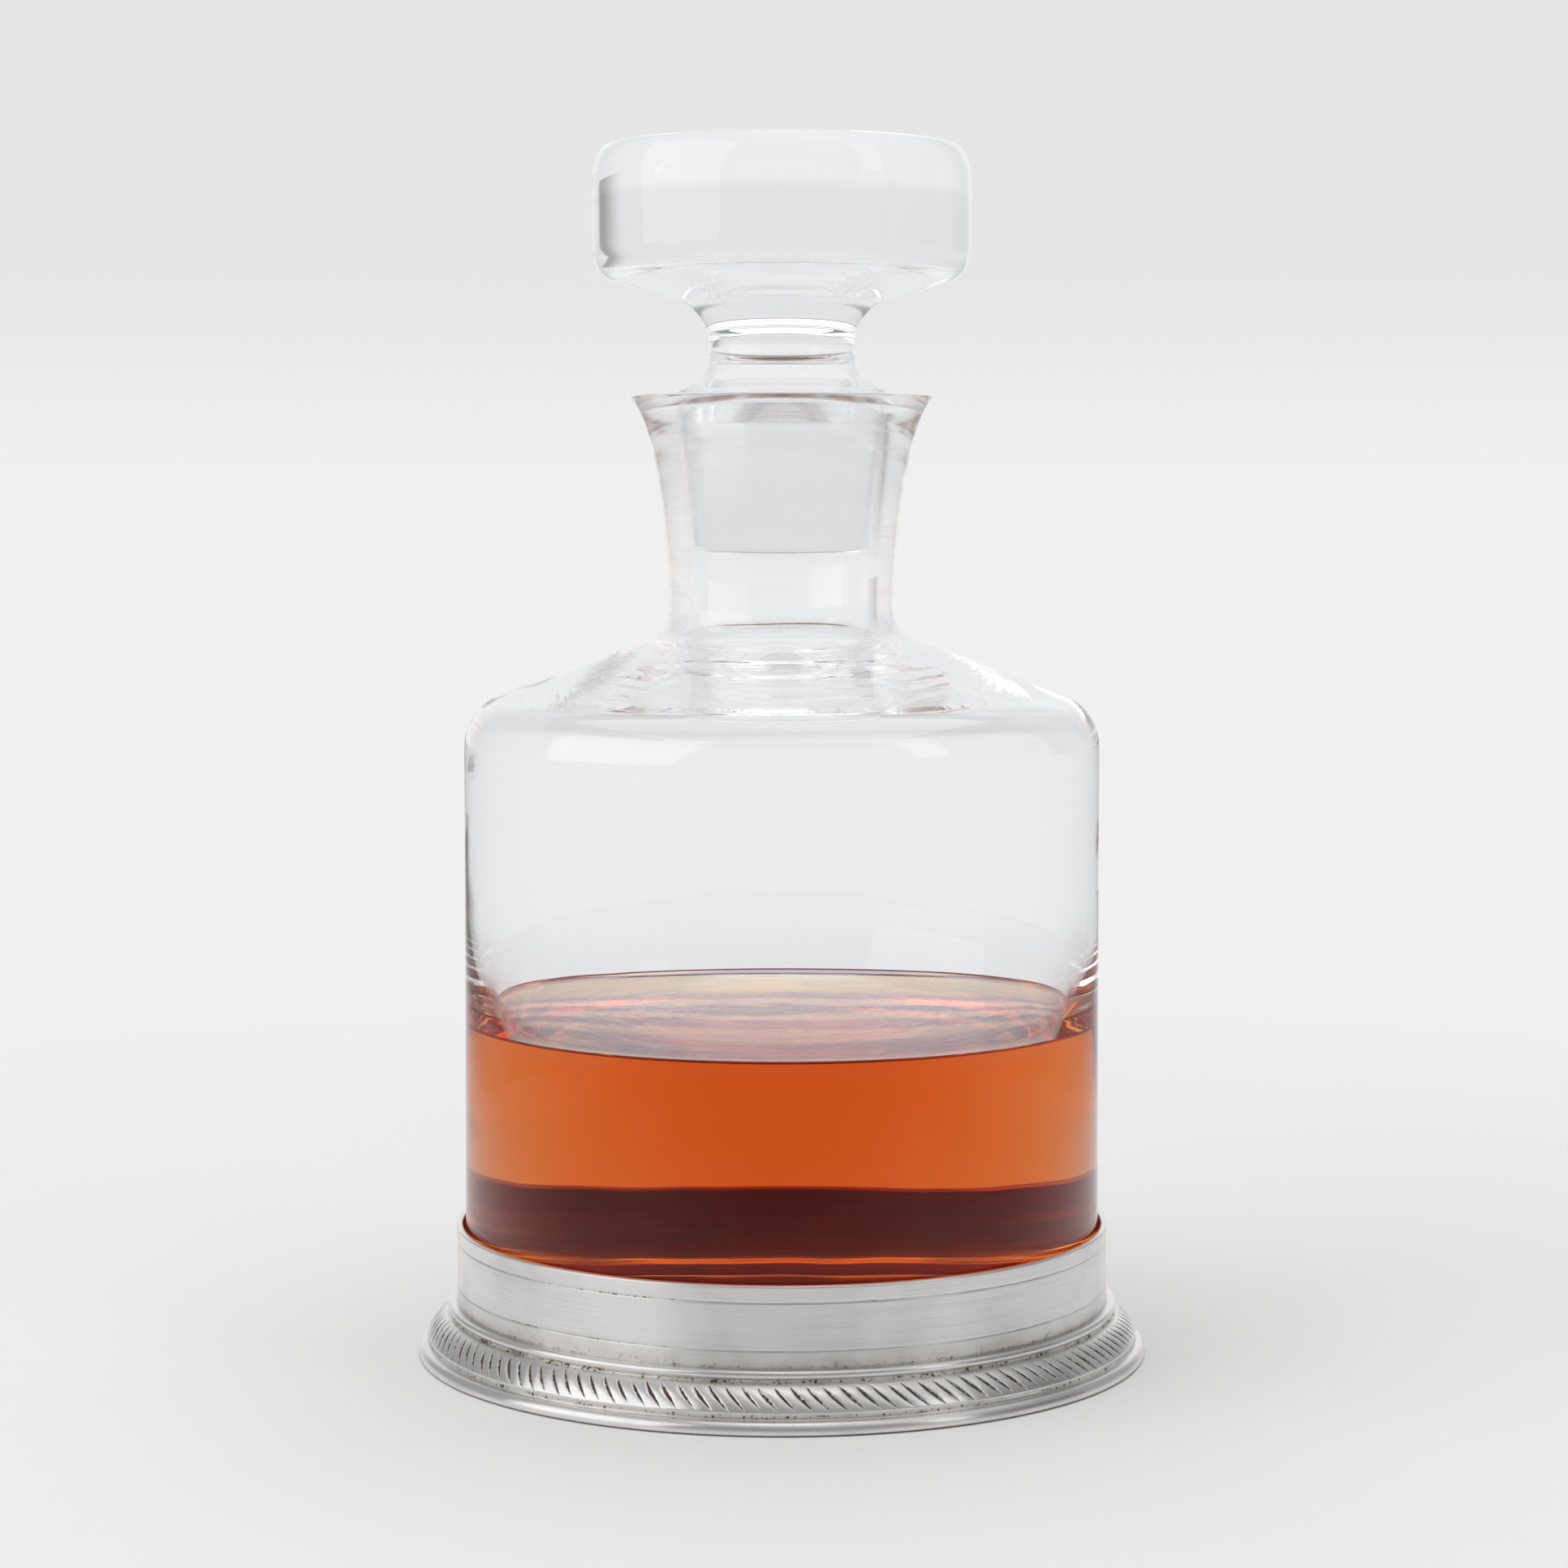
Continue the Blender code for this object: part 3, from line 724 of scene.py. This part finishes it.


# Collar band: spun pewter, waisted by waist * 4 * share * (1 - share) of its height, with two engraved lines
# that waver as a hand-held tool does. Tarnish gathers in the lines, and the band's foot is painted darker as
# shade.
band = {
    "columns": 540,
    "wall": 1.1,
    "waist": 0.15,
    "rimRound": 0.4,
    "innerRound": 0.15,
    "innerRow": 0.6,
    "faceDepth": 0.01,
    "seatSink": 0.34,
    "lineDrops": (2.8, 10.8),
    "lineWidth": 0.42,
    "lineDepth": 0.13,
    "linePower": 0.7,
    "lineShade": 0.75,
    "waverSeed": 30,
    "waver": 0.05,
    "strengthSeed": 40,
    "strength": 0.75,
    "strengthSpread": 0.35,
    "strengthSpan": (0.35, 1.1),
    "seamShade": 0.5,
    "seamHeight": 0.30,
    "lowShade": 0.42,
    "lowShadeHeight": 3.2,
    "seatReach": 0.05,
    "seatDrop": 0.4,
}


def makeBand(materials):
    b = band
    bandFoot, rim, radiusOut = extent("collar_band")
    bore = radiusOut - b["wall"]
    low = bandFoot - b["seatSink"]
    rows = join(
        [(bore + b["innerRound"], rim)],
        bow(radiusOut - b["rimRound"], rim - b["rimRound"], b["rimRound"], 90, 0, 12),
        straight((radiusOut, rim - b["rimRound"]), (radiusOut, low), 92),
        straight((bore, low), (bore, rim - b["innerRow"]), 9),
        [(bore, rim - b["innerRound"])])
    turn = columnTurns(b["columns"])
    radius, height = rows[:, :1], rows[:, 1:]
    face = (radius > radiusOut - b["faceDepth"]) & (height < rim)
    share = np.clip((height - bandFoot) / (rim - bandFoot), 0, 1)
    radius = radius - np.where(face, b["waist"] * 4 * share * (1 - share), 0)
    seam = np.exp(-((height - bandFoot) / b["seamHeight"]) ** 2) * b["seamShade"]
    # painted shade: the band grows darker towards its foot, through the tarnish colour
    shade = np.exp(-((height - bandFoot) / b["lowShadeHeight"]) ** 2) * b["lowShade"]
    tarnishAndShade = np.where(face, np.maximum(seam, shade), 0)
    for number, drop in enumerate(b["lineDrops"]):
        waver = unevenness(turn, 0, b["waverSeed"] + number, (3, 7, 17, 41)) * b["waver"]
        pressure = unevenness(turn, 0, b["strengthSeed"] + number, (2, 9, 23, 57))
        strength = np.clip(b["strength"] + b["strengthSpread"] * pressure, *b["strengthSpan"])
        off = np.abs(height - (rim - drop + waver)) / (b["lineWidth"] / 2)
        groove = np.where(face, np.clip(1 - off, 0, 1) ** b["linePower"] * strength, 0)
        radius = radius - groove * b["lineDepth"]
        tarnishAndShade = np.maximum(tarnishAndShade, groove * b["lineShade"])
    mesh = turnedMesh("collarBand", radius, height, turn,
                      {"run": runLength(rows), "tarnishAndShade": tarnishAndShade}, loop=True)
    pewter = materials["bandPewter"]
    piece = finishPiece("collarBand", mesh, pewter, "decanter", "collar_band")
    # the face behind the glass gets a darker, reddish metal: painted shade of the narrow gap
    reach, level = faceCentres(mesh)
    hidden = (reach < bore + b["seatReach"]) & (level < rim - b["seatDrop"])
    dressFaces(mesh, materials["seatPaintedShade"], hidden)
    return piece


# Foot ring: cast pewter with a bead, a hollow channel, a rope moulding of slanting notches and a plain rim.
# Insets are measured from its widest radius. Dirt gathers in the channel, in the quirk under the rope and in
# the seam with the band, as level * exp(-(distance / width)^2).
foot = {
    "beadRadius": 0.8,
    "beadOverhang": 0.8,
    "channelInset": 5.95,
    "channelRise": 0.35,
    "ropeTopInset": 5.0,
    "ropeTop": 7.1,
    "ropeFootInset": 1.6,
    "ropeFoot": 3.4,
    "ropeCrown": 0.4,
    "ropeRows": 22,
    "quirkDepth": 0.3,
    "quirkHeight": 0.7,
    "edgeRise": 0.6,
    "edgeRound": 0.4,
    "edgeCurve": 1.6,
    "standingWidth": 3.8,
    "hollowDraft": 0.4,
    "hollowHeight": 2.6,
    "ledgeTop": 4.4,
    "ledgeWidth": 4.6,
    "dirtLevels": (0.70, 0.58, 0.55),
    "dirtWidths": (1.05, 0.70, 0.20),
    "underShade": 0.35,
    "underHeight": 0.05,
    "seatReach": 0.01,
    # the shares of a pitch at which each notch has its columns, and the ranges that its start, end, depth and
    # width are drawn from; on the way down it slides round the ring by slide pitches
    "notch": {
        "count": 142,
        "shares": (-0.5, -0.24, -0.155, -0.115, -0.07, -0.025, 0.02, 0.065, 0.105, 0.19),
        "middle": -0.025,
        "slide": 1.5,
        "bend": 0.3,
        "width": 0.28,
        "leastWidth": 0.05,
        "depth": 0.24,
        "landBulge": 0.04,
        "seed": 7,
        "jitters": (-0.05, 0.05),
        "starts": (0.0, 0.08),
        "ends": (0.90, 1.0),
        "depths": (0.75, 1.1),
        "widths": (0.8, 1.1),
        "pointedness": 0.6,
        "cutPower": 0.6,
        "tarnish": 1.7,
    },
}


def makeFootRing(materials):
    f, n = foot, foot["notch"]
    top, radiusOut = extent("foot_ring")[1:]
    bandRadius = extent("collar_band")[2]
    bore = bandRadius - band["wall"]
    ropeTop = np.array((radiusOut - f["ropeTopInset"], f["ropeTop"]))
    ropeFoot = np.array((radiusOut - f["ropeFootInset"], f["ropeFoot"]))
    fall = (ropeFoot - ropeTop) / np.linalg.norm(ropeFoot - ropeTop)
    out = np.array((-fall[1], fall[0]))
    down = np.linspace(0, 1, f["ropeRows"])[:, None]
    rope = ropeTop + (ropeFoot - ropeTop) * down + out * f["ropeCrown"] * 4 * down * (1 - down)
    channel = (radiusOut - f["channelInset"], f["ropeTop"] + f["channelRise"])
    quirk = (ropeFoot[0] - f["quirkDepth"], ropeFoot[1] - f["quirkHeight"])
    curveR = radiusOut - f["edgeCurve"]
    roundR = radiusOut - f["edgeRound"]
    hollowR = roundR - f["standingWidth"]
    ledgeR = bore - f["ledgeWidth"]
    bead = bow(bandRadius + f["beadOverhang"], top - f["beadRadius"], f["beadRadius"], 90, -50, 12)
    above = join(straight((bore, top), bead[0], 4), bead, sag(bead[-1], channel, rope[0], 8))
    below = join(
        sag(rope[-1], quirk, (curveR, f["edgeRise"] + f["edgeCurve"]), 7),
        bow(curveR, f["edgeRise"], f["edgeCurve"], 90, 0, 11),
        bow(roundR, f["edgeRound"], f["edgeRound"], 0, -90, 30),
        [(hollowR, 0),
         (hollowR - f["hollowDraft"], f["hollowHeight"]),
         (ledgeR, f["hollowHeight"]),
         (ledgeR, f["ledgeTop"]),
         (bore, f["ledgeTop"])])
    rows = join(above, rope, below)
    share = np.clip((np.arange(len(rows)) - len(above) + 1) / (f["ropeRows"] - 1), 0, 1)[:, None]
    onRope = (share > 0) & (share < 1)
    # each notch has its own columns, which slide round the ring on the way down
    dice = np.random.default_rng(n["seed"])
    place = np.tile(np.array(n["shares"]), n["count"])[None, :]
    number = np.repeat(np.arange(n["count"]), len(n["shares"]))
    ranges = ("jitters", "starts", "ends", "depths", "widths")
    jitter, start, end, depth, width = [dice.uniform(*n[key], n["count"])[number] for key in ranges]
    slide = n["slide"] * ((1 - n["bend"]) * share + n["bend"] * share ** 2)
    turn = (number + place + jitter + slide) * (fullTurn / n["count"])
    # leaf shape: sin of the way down the notch, wide in the middle and pointed at its ends
    leaf = np.sin(np.pi * np.clip((share - start) / (end - start), 0, 1)) ** n["pointedness"]
    half = width * n["width"] / 2 * np.maximum(leaf, n["leastWidth"])
    cut = np.clip(1 - np.abs(place - n["middle"]) / half, 0, 1) ** n["cutPower"] * leaf * onRope
    land = np.cos(place * fullTurn) * -n["landBulge"] * np.sin(np.pi * share) * onRope
    push = land - cut * depth * n["depth"]
    radius = rows[:, :1] + out[0] * push
    height = rows[:, 1:] + out[1] * push
    gap = np.linalg.norm(rows[:, None, :] - np.array([channel, quirk, (bandRadius, top)])[None], axis=2)
    dips = np.exp(-(gap / np.array(f["dirtWidths"])) ** 2) * f["dirtLevels"]
    tarnishAndShade = np.maximum(dips.max(axis=1)[:, None], cut ** n["cutPower"] * n["tarnish"])
    # painted shade: the underside takes a flat level of the tarnish colour
    under = (rows[:, :1] < hollowR + slack) & (rows[:, 1:] < f["ledgeTop"] + slack)
    under = under | (rows[:, 1:] < f["underHeight"])
    tarnishAndShade = np.where(under, f["underShade"], tarnishAndShade)
    mesh = turnedMesh("footRing", radius, height, turn,
                      {"run": runLength(rows), "tarnishAndShade": tarnishAndShade}, loop=True)
    pewter = materials["footPewter"]
    piece = finishPiece("footRing", mesh, pewter, "decanter", "foot_ring")
    # the ledge under the glass and the wall above it get the same darker, reddish metal: painted shade
    reach, level = faceCentres(mesh)
    hidden = (reach < bore + f["seatReach"]) & (level > f["ledgeTop"] - slack) & (level < top - slack)
    dressFaces(mesh, materials["seatPaintedShade"], hidden)
    return piece


# Base plate: turned disc let into the foot ring. Its underside has shallow rings from the lathe,
# depth * (1 + cos(full turns of radius / pitch)) / 2, which fade out at the middle.
plate = {
    "columns": 180,
    "edgeRound": 0.3,
    "underInset": 0.02,
    "underRows": 180,
    "ringDepth": 0.02,
    "ringPitch": 1.3,
    "ringFade": 3,
    "shade": 0.22,
}


def makePlate(material):
    p = plate
    low, top, radiusOut = extent("base_plate")
    under = np.linspace(radiusOut - p["underInset"], 0, p["underRows"])
    rings = p["ringDepth"] * (0.5 + 0.5 * np.cos(under / p["ringPitch"] * fullTurn))
    rings = rings * np.clip(under / p["ringFade"], 0, 1)
    rows = join(
        straight((0, top), (radiusOut - p["edgeRound"], top), 12),
        bow(radiusOut - p["edgeRound"], top - p["edgeRound"], p["edgeRound"], 90, 0, 30),
        np.column_stack([under, low + rings]))
    # painted shade: the whole plate takes a flat level of the tarnish colour
    mesh = turnedMesh("basePlate", rows[:, :1], rows[:, 1:], columnTurns(p["columns"]),
                      {"run": runLength(rows), "tarnishAndShade": p["shade"]})
    return finishPiece("basePlate", mesh, material, "decanter", "base_plate")


# Bed of putty with the soft uneven edge of something pressed flat: radius * (1 - depth * (1 + waves)) at the
# edge, and less further in. A little air lies between it and the glass.
bed = {
    "columns": 180,
    "air": 0.05,
    "seed": 50,
    "edgeDepth": 0.012,
    "edgePower": 6,
}


def makeBed(material):
    low, top, radiusOut = extent("glass_bed")
    top -= bed["air"]
    half = (top - low) / 2
    rows = join(
        straight((0, top), (radiusOut - half, top), 20),
        bow(radiusOut - half, low + half, half, 90, -90, 20),
        straight((radiusOut - half, low), (0, low), 8))
    turn = columnTurns(bed["columns"])
    edge = np.clip(rows[:, :1] / radiusOut, 0, 1) ** bed["edgePower"]
    waves = 1 + unevenness(turn, 0, bed["seed"], (3, 8, 13, 29))
    radius = rows[:, :1] * (1 - bed["edgeDepth"] * edge * waves)
    mesh = turnedMesh("glassBed", radius, rows[:, 1:], turn, {"run": runLength(rows)})
    return finishPiece("glassBed", mesh, material, "decanter", "glass_bed")


makeBottle({
    "blownGlass": glassMaterial("blownGlass"),
    "wetGlass": glassMaterial("wetGlass", {"mirror": (0.02, 0.02, 0.02, 1)}),
    "lowGlass": glassMaterial("lowGlass", {"mirror": (0.5, 0.5, 0.5, 1)})})
makeSpirit(spiritMaterial("amberSpirit"))
makeStopper(glassMaterial("stopperGlass", {"rippleDepth": 0.0001}))
# painted shade: a darker, reddish, duller metal for the faces behind and under the glass
seatPaintedShade = pewterMaterial("seatPaintedShade", {
    "metal": (0.78, 0.52, 0.42, 1), "tired": (0.64, 0.43, 0.34, 1), "roughness": 0.55, "anisotropy": 0.0})
makeBand({"bandPewter": pewterMaterial("bandPewter"), "seatPaintedShade": seatPaintedShade})
makeFootRing({
    "footPewter": pewterMaterial("footPewter", {"roughness": 0.25, "grainDepth": 0.000009}),
    "seatPaintedShade": seatPaintedShade})
makePlate(pewterMaterial("platePewter", {"roughness": 0.36, "anisotropy": 0.3}))
makeBed(puttyMaterial("settingPutty"))

# Floor: pale, and within reach of the object plain enough to take its shadow. Further out it glows as pale
# as the world. A mirror sees it fall into the dark on the camera's side, and less so at the sides.
floorLook = {
    "radius": 3.0,
    "corners": 96,
    "drop": 0.0002,
    "colour": (0.88, 0.88, 0.88, 1),
    "pale": 0.875,
    "fadeSpan": (0.15, 0.50),
    "dimSpan": (0.12, 0.32),
    "dimFront": 0.20,
    "dimSides": 0.40,
    "sideSpan": (0.0, 0.3),
    "patch": 0.62,
    "patchRadius": 0.060,
}


def makeFloor():
    f = floorLook
    turn = columnTurns(f["corners"])[0]
    ring = np.column_stack([np.cos(turn), np.sin(turn), 0 * turn]) * f["radius"]
    mesh = bpy.data.meshes.new("floor")
    mesh.from_pydata(ring, [], [list(range(len(ring)))])
    floor = bpy.data.objects.new("floor", mesh)
    floor.location.z = -f["drop"]
    bpy.context.scene.collection.objects.link(floor)
    material, wire = blankMaterial("paleFloor")
    place = wire.coordinates()
    far = wire.vectors("LENGTH", place, output="Value")
    near = wire.node("ShaderNodeBsdfDiffuse", {}, {"Color": f["colour"]})
    glow = wire.node("ShaderNodeEmission", {}, {"Strength": f["pale"]})
    top = wire.node("ShaderNodeMixShader", {}, {0: far.ramp(*f["fadeSpan"]), 1: near, 2: glow})
    forward = place.along("Y") * -1
    aside = wire.maths("ABSOLUTE", place.along("X"))
    sideShare = (aside - forward).ramp(*f["sideSpan"])
    gloomLevel = f["dimFront"] + sideShare * (f["dimSides"] - f["dimFront"])
    gloom = wire.node("ShaderNodeEmission", {}, {"Strength": gloomLevel})
    mirrored = wire.lightPath("Is Glossy Ray") * (1 - wire.lightPath("Is Transmission Ray"))
    dim = wire.maths("MAXIMUM", forward, aside).ramp(*f["dimSpan"]) * mirrored
    top = wire.node("ShaderNodeMixShader", {}, {0: dim, 1: top, 2: gloom})
    # a pale patch that only the underside of the foot can see
    underFoot = wire.maths("LESS_THAN", far, f["patchRadius"])
    patch = wire.node("ShaderNodeEmission", {}, {"Strength": f["patch"]})
    top = wire.node("ShaderNodeMixShader", {}, {0: underFoot, 1: top, 2: patch})
    clear = wire.node("ShaderNodeBsdfTransparent")
    behind = wire.node("ShaderNodeNewGeometry", output="Backfacing")
    linkSurface(wire, wire.node("ShaderNodeMixShader", {}, {0: behind, 1: top, 2: clear}))
    mesh.materials.append(material)


# Room: what a mirror shows, with a bright backdrop behind, plain walls at the sides, a dim front, a dark gap
# between two walls and a ceiling. Heights are the sine of the rise, and turns are degrees from straight back.
room = {
    "sides": 0.36,
    "backdrop": 0.88,
    "backSpan": (0.80, 0.96),
    "front": 0.27,
    "frontSpan": (0.30, 0.90),
    "gap": 0.14,
    "gapTurns": (76, 114),
    "gapEdge": 6,
    "gapTop": (0.30, 0.65),
    "ceilingLeft": 0.48,
    "ceilingRight": 0.70,
    "ceilingSpan": (-0.6, 0.6),
    "ceilingRise": (0.66, 0.85),
    "zenith": 1.35,
    "zenithRise": (0.960, 0.980),
}
# Pale: what the camera sees, and what clear glass bends into view, which is also a darker ring under the
# ceiling and a wall that darkens to a corner
pale = {
    "level": 0.79,
    "horizonRise": (0.0, 0.07),
    "ringRise": (0.59, 0.68),
    "ringDepth": 0.50,
    "wallTurns": (42, 62),
    "cornerTurns": (63, 67),
    "wallDepth": 0.55,
}
# Image: the backdrop as the top of the spirit mirrors it out through the glass, cream low down, and above
# that stripes of lilac and peach, which follow the sine of the rise
image = {
    "lilac": (0.84, 0.79, 0.88, 1),
    "peach": (1.55, 1.22, 1.06, 1),
    "cream": (1.15, 1.02, 0.84, 1),
    "stripe": 0.055,
    "stripeEdge": (-0.4, 0.4),
    "creamSpan": (0.90, 0.985),
    "creamEnd": (0.075, 0.10),
    "backSpan": (0.45, 0.75),
    "foot": (0.0, 0.02),
    "top": (0.30, 0.40),
    "steps": 6,
}


def makeWorld():
    world = bpy.data.worlds.new("studioLight")
    world.use_nodes = True
    world.node_tree.nodes.clear()
    wire = Wire(world.node_tree)
    way = wire.coordinates("Generated")
    level = wire.vectors("NORMALIZE", wire.vectors("MULTIPLY", way, (1, 1, 0)))
    backward, right, rise = level.along("Y"), level.along("X"), way.along("Z")
    azimuth = wire.maths("ARCTAN2", right, backward)  # to the right positive

    back = backward.ramp(*room["backSpan"]) * (room["backdrop"] - room["sides"])
    front = (backward * -1).ramp(*room["frontSpan"]) * (room["sides"] - room["front"])
    start, end = room["gapTurns"]
    opening = azimuth.ramp(*np.radians((start - room["gapEdge"], start)))
    opening = opening * (1 - azimuth.ramp(*np.radians((end, end + room["gapEdge"]))))
    opening = opening * (1 - rise.ramp(*room["gapTop"]))
    walls = room["sides"] + back - front - opening * (room["sides"] - room["gap"])
    ceilingChange = room["ceilingRight"] - room["ceilingLeft"]
    ceiling = room["ceilingLeft"] + right.ramp(*room["ceilingSpan"]) * ceilingChange
    mirrored = walls + rise.ramp(*room["ceilingRise"]) * (ceiling - walls)
    mirrored = mirrored + rise.ramp(*room["zenithRise"]) * (room["zenith"] - ceiling)

    plain = floorLook["pale"] - rise.ramp(*pale["horizonRise"]) * (floorLook["pale"] - pale["level"])
    ring = rise.ramp(*pale["ringRise"])
    wall = azimuth.ramp(*np.radians(pale["wallTurns"])) * (1 - azimuth.ramp(*np.radians(pale["cornerTurns"])))
    bent = plain - wire.maths("MAXIMUM", ring * pale["ringDepth"], wall * pale["wallDepth"])

    seen = wire.lightPath("Is Camera Ray")
    through = wire.lightPath("Is Transmission Ray")
    # two faces of glass on the way in, the mirror, two on the way out, and the world itself: six steps
    shown = wire.maths("GREATER_THAN", wire.lightPath("Glossy Depth"), 0.5) * through
    shown = shown * wire.maths("COMPARE", wire.lightPath("Ray Depth"), image["steps"], 0.5)
    shown = shown * backward.ramp(*image["backSpan"])
    shown = shown * rise.ramp(*image["foot"]) * (1 - rise.ramp(*image["top"]))
    stripes = wire.maths("SINE", rise * (fullTurn / image["stripe"])).ramp(*image["stripeEdge"])
    creamShare = (1 - rise.ramp(*image["creamEnd"])) * backward.ramp(*image["creamSpan"])
    picture = wire.tint(creamShare, wire.tint(stripes, image["lilac"], image["peach"]), image["cream"])

    strength = seen * plain + through * bent + (1 - wire.maths("MAXIMUM", seen, through)) * mirrored
    light = wire.node("ShaderNodeBackground", {}, {
        "Color": wire.tint(shown, (1, 1, 1, 1), picture),
        "Strength": strength + shown * (1 - strength)})
    linkSurface(wire, light, kind="ShaderNodeOutputWorld")
    bpy.context.scene.world = world


# Soft boxes: each faces the object from an azimuth (0 is the camera's side, to the left is negative), an
# elevation and a distance; a level of 1 looks white in a mirror. Metal mirrors the plain ceiling in place
# of the top box.
softBoxes = {
    "leftBox": {
        "azimuth": -64, "elevation": 24, "distance": 1.25, "width": 1.3, "height": 1.1, "level": 0.87},
    "rightBox": {
        "azimuth": 55, "elevation": 27, "distance": 1.4, "width": 0.35, "height": 0.8, "level": 0.75},
    "topBox": {
        "azimuth": 0, "elevation": 89, "distance": 1.3, "width": 1.8, "height": 1.8, "level": 1.00,
        "mirrored": False},
}


def makeSoftBoxes():
    aim = np.array([0, 0, 0.1])
    for name, box in softBoxes.items():
        azimuth, elevation = math.radians(box["azimuth"]), math.radians(box["elevation"])
        level = math.cos(elevation)
        way = np.array([math.sin(azimuth) * level, -math.cos(azimuth) * level, math.sin(elevation)])
        data = bpy.data.lights.new(name, "AREA")
        data.shape = "RECTANGLE"
        data.size, data.size_y = box["width"], box["height"]
        data.energy = box["level"] * math.pi * box["width"] * box["height"]
        lamp = bpy.data.objects.new(name, data)
        lamp.visible_glossy = box.get("mirrored", True)
        lamp.location = aim + way * box["distance"]
        lamp.rotation_euler = (math.pi / 2 - elevation, 0, azimuth)
        bpy.context.scene.collection.objects.link(lamp)


# Light runs a long way inside the glass walls before it leaves them
bounces = 200


def setRender():
    scene = bpy.context.scene
    scene.view_settings.view_transform = "Standard"
    scene.cycles.max_bounces = bounces
    scene.cycles.transmission_bounces = bounces
    scene.cycles.glossy_bounces = bounces


makeFloor()
makeWorld()
makeSoftBoxes()
setRender()
print("studio ready")
